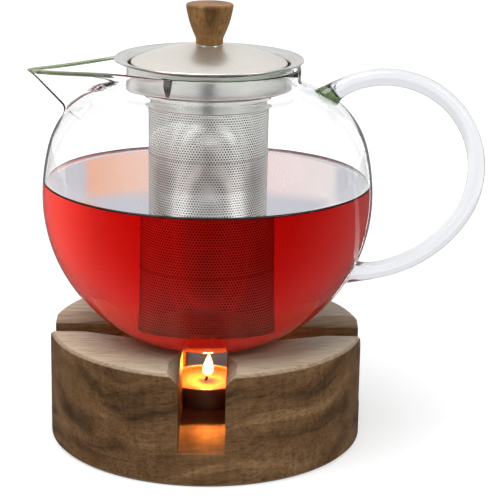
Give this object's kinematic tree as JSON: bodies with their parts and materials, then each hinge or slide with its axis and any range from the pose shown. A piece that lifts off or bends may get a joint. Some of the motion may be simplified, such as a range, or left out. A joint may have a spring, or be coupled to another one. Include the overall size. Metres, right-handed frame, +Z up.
{
  "type": "glass teapot",
  "caption": "Round clear glass teapot with a rod handle and a beak spout, a lift-out perforated infuser, a domed lid with a wooden knob, and a wooden candle warmer.",
  "frame": {"origin": "middle of the warmer's underside, on the table", "axes": "+Z up along the pot's axis, +X towards the handle, -X towards the spout, -Y towards the front"},
  "size_m": [0.2251, 0.16, 0.2142],
  "materials": {
    "clear_glass": "clear borosilicate, fire-polished",
    "acacia_block": "oiled hardwood",
    "knob_wood": "oiled hardwood",
    "steel": "brushed",
    "steel_mesh": "satin, perforated",
    "screw_steel": "plain",
    "cup_metal": "bright drawn",
    "wax": "paraffin wax",
    "wick": "charred cotton"
  },
  "bodies": {
    "warmer": {"warmer_block": "acacia_block"},
    "tealight": {"tealight_cup": "cup_metal", "tealight_wax": "wax", "wick_sustainer": "cup_metal", "tealight_wick": "wick"},
    "teapot": {"glass_body": "clear_glass", "glass_handle": "clear_glass"},
    "infuser": {"infuser_collar": "steel", "infuser_band": "steel", "infuser_sleeve": "steel_mesh", "infuser_bottom": "steel_mesh"},
    "lid": {"lid_dome": "steel", "lid_skirt": "steel", "knob_washer": "steel", "lid_knob": "knob_wood", "knob_screw": "screw_steel"}
  },
  "joints": [
    {"name": "teapot_lift", "type": "slide", "parent": "warmer", "child": "teapot", "axis": [0, 0, 1], "range_m": [0, 0.1]},
    {"name": "infuser_lift", "type": "slide", "parent": "teapot", "child": "infuser", "axis": [0, 0, 1], "range_m": [0, 0.14]},
    {"name": "lid_lift", "type": "slide", "parent": "infuser", "child": "lid", "axis": [0, 0, 1], "range_m": [0, 0.05]},
    {"name": "tealight_lift", "type": "slide", "parent": "warmer", "child": "tealight", "axis": [0, 0, 1], "range_m": [0, 0.018]}
  ]
}
